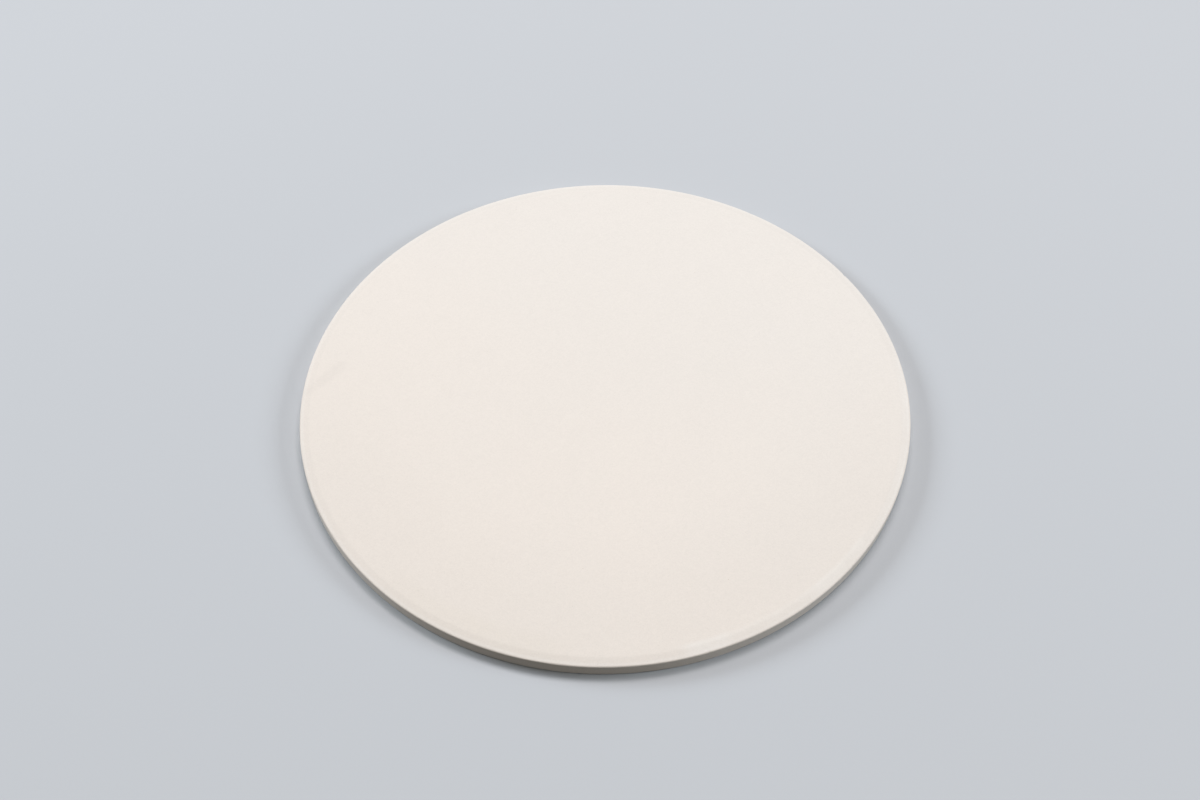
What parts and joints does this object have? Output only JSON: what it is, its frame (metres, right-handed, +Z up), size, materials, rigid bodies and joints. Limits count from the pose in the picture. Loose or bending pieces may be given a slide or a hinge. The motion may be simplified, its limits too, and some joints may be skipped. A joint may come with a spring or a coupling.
{
  "type": "heat deflector plate",
  "caption": "Flat round plate of bare cream ceramic with a shallow bevel round its top face and softly rounded edges, laid above the coals of a kamado cooker to turn direct flame into even, indirect heat.",
  "frame": {"origin": "centre of the underside, on the surface that the plate rests on", "axes": "+Z up through the plate's thickness, along its axis of symmetry; X and Y lie in the underside"},
  "size_m": [0.4, 0.4, 0.01],
  "materials": {
    "ceramic": "matt unglazed fired cordierite, cream, fine grained"
  },
  "bodies": {
    "root": {"deflector_plate": "ceramic"}
  },
  "joints": []
}
